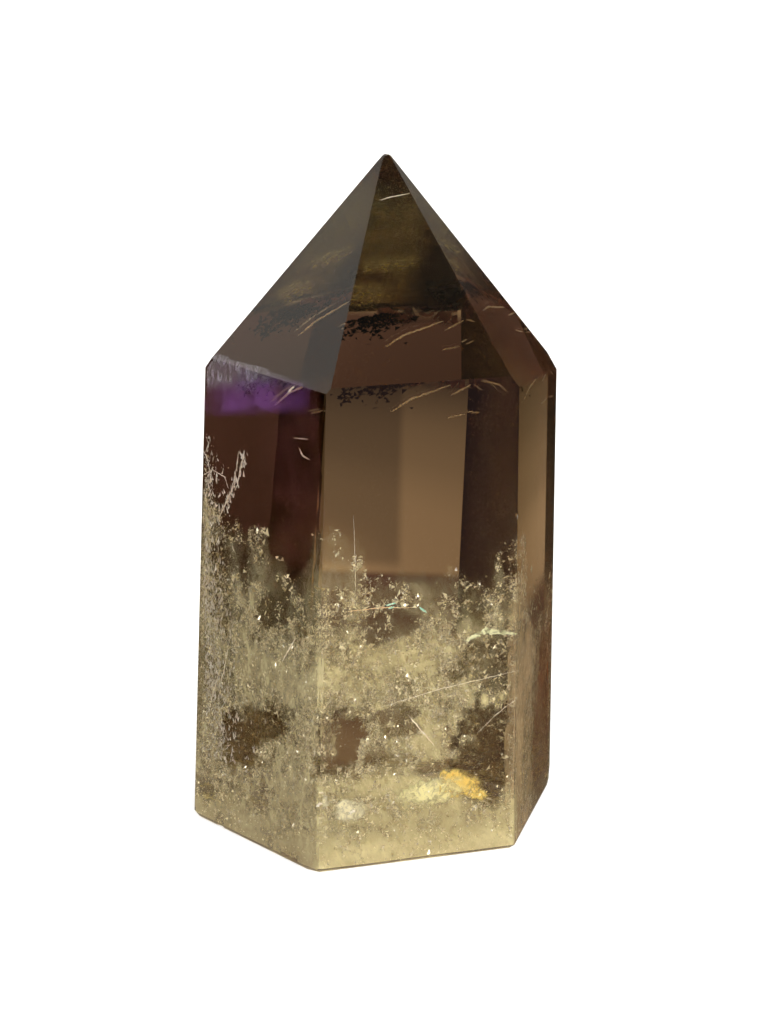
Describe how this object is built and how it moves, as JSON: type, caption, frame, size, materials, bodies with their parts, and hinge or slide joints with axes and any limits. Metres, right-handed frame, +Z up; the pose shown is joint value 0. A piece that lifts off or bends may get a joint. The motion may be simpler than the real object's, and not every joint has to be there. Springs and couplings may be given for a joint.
{
  "type": "polished quartz crystal point",
  "caption": "Six-sided smoky quartz point with a faceted tip and a flat base, cut and polished to stand upright.",
  "frame": {"origin": "centre of the flat base's outline, on the surface that the point stands on", "axes": "+Z up along the crystal towards its tip, -Y towards the viewer of the pictured side, +X to that viewer's right"},
  "size_m": [0.0414, 0.0412, 0.0746],
  "materials": {
    "crystal": "polished clear to smoky quartz, brown above with a violet zone, pale yellow and full of veils below"
  },
  "bodies": {
    "root": {"quartz_point": "crystal"}
  },
  "joints": []
}
